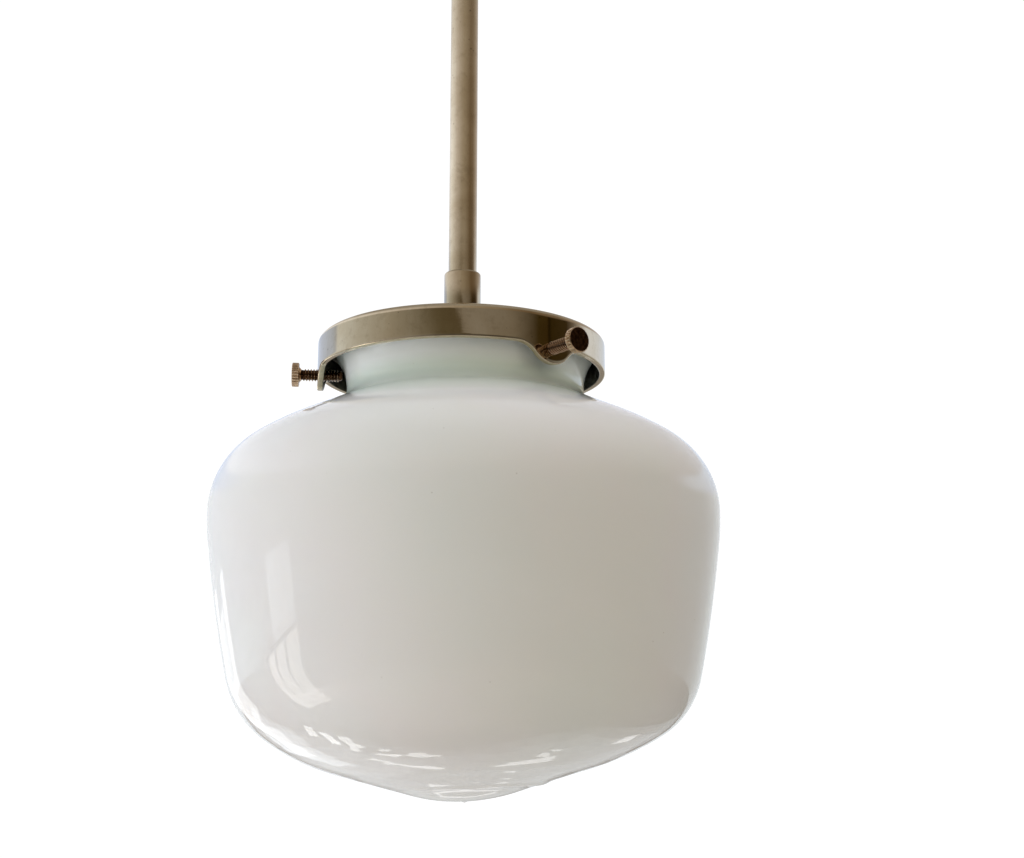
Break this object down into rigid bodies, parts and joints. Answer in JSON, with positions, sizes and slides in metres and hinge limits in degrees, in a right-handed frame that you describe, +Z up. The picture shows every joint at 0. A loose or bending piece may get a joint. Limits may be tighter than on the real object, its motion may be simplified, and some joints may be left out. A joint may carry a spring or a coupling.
{
  "type": "schoolhouse pendant light",
  "caption": "Ceiling light hung on a rod: round canopy and swivel, plain stem with a collar, and a cup that holds an opal glass schoolhouse globe by thumbscrews.",
  "frame": {"origin": "middle of the canopy's rim, on the ceiling plane", "axes": "+Z up, -Y towards the side that was pictured, +X to the right of it"},
  "size_m": [0.1867, 0.1866, 0.5469],
  "materials": {
    "old_nickel": "polished nickel plate, warm and tarnished",
    "screw_bronze": "dark worn bronze",
    "opal_glass": "glossy opal white",
    "zinc_steel": "zinc plated",
    "canopy_nickel": "polished nickel plate, warm and tarnished",
    "holder_brass": "drawn brass, dull",
    "liner_card": "black insulating card",
    "porcelain": "white glazed ceramic",
    "terminal_brass": "bright brass",
    "terminal_steel": "nickel plated",
    "lead_dark": "black insulation",
    "lead_light": "white insulation",
    "bulb_frost": "frosted white",
    "bulb_aluminium": "plain",
    "bulb_black": "black glass",
    "solder": "dull solder",
    "earth_green": "green screw"
  },
  "bodies": {
    "ceiling": {"ceiling_bar": "zinc_steel", "canopy": "canopy_nickel", "canopy_studs": "zinc_steel", "earth_screw": "earth_green", "swivel_nipple": "zinc_steel", "bar_locknuts": "zinc_steel"},
    "swivel": {"swivel_head": "old_nickel", "swivel_pin": "old_nickel"},
    "pendant": {"swivel_tongue": "old_nickel", "stem": "old_nickel", "collar": "old_nickel", "fitter": "old_nickel", "fitter_nipple": "zinc_steel", "fitter_washer": "zinc_steel", "fitter_locknut": "zinc_steel", "holder_cap": "holder_brass", "holder_cap_screw": "terminal_steel", "holder_shell": "holder_brass", "holder_liner": "liner_card", "holder_core": "porcelain", "terminal_left": "terminal_brass", "terminal_right": "terminal_steel", "lamp_shell": "terminal_brass", "centre_contact": "terminal_brass", "lead_left": "lead_dark", "lead_right": "lead_light"},
    "canopy_nut_left": {"canopy_nut_left": "old_nickel"},
    "canopy_nut_right": {"canopy_nut_right": "old_nickel"},
    "thumbscrew_left": {"thumbscrew_left": "screw_bronze"},
    "thumbscrew_front": {"thumbscrew_front": "screw_bronze"},
    "thumbscrew_back": {"thumbscrew_back": "screw_bronze"},
    "globe": {"globe": "opal_glass"},
    "bulb": {"bulb_glass": "bulb_frost", "bulb_base": "bulb_aluminium", "bulb_insulator": "bulb_black", "bulb_contact": "solder"}
  },
  "joints": [
    {"name": "swivel_turn", "type": "hinge", "parent": "ceiling", "child": "swivel", "pos_m": [0, 0, -0.0409], "axis": [0, 0, 1], "range_deg": [-170, 170]},
    {"name": "stem_swing", "type": "hinge", "parent": "swivel", "child": "pendant", "pos_m": [0, 0, -0.0409], "axis": [0, 1, 0], "range_deg": [-60, 60]},
    {"name": "canopy_nut_left_off", "type": "slide", "parent": "ceiling", "child": "canopy_nut_left", "axis": [0, 0, -1], "range_m": [0, 0.005]},
    {"name": "canopy_nut_right_off", "type": "slide", "parent": "ceiling", "child": "canopy_nut_right", "axis": [0, 0, -1], "range_m": [0, 0.005]},
    {"name": "thumbscrew_left_out", "type": "slide", "parent": "pendant", "child": "thumbscrew_left", "axis": [-0.9976, -0.0698, 0], "range_m": [0, 0.006]},
    {"name": "thumbscrew_front_out", "type": "slide", "parent": "pendant", "child": "thumbscrew_front", "axis": [0.5878, -0.809, 0], "range_m": [-0.002, 0.0035]},
    {"name": "thumbscrew_back_out", "type": "slide", "parent": "pendant", "child": "thumbscrew_back", "axis": [0.4384, 0.8988, 0], "range_m": [0, 0.005]},
    {"name": "globe_turn", "type": "hinge", "parent": "pendant", "child": "globe", "pos_m": [0.0014, 0, -0.3914], "axis": [-0.0052, 0, 1], "continuous": true},
    {"name": "bulb_out", "type": "slide", "parent": "pendant", "child": "bulb", "axis": [0, 0, -1], "range_m": [0, 0.022]}
  ]
}
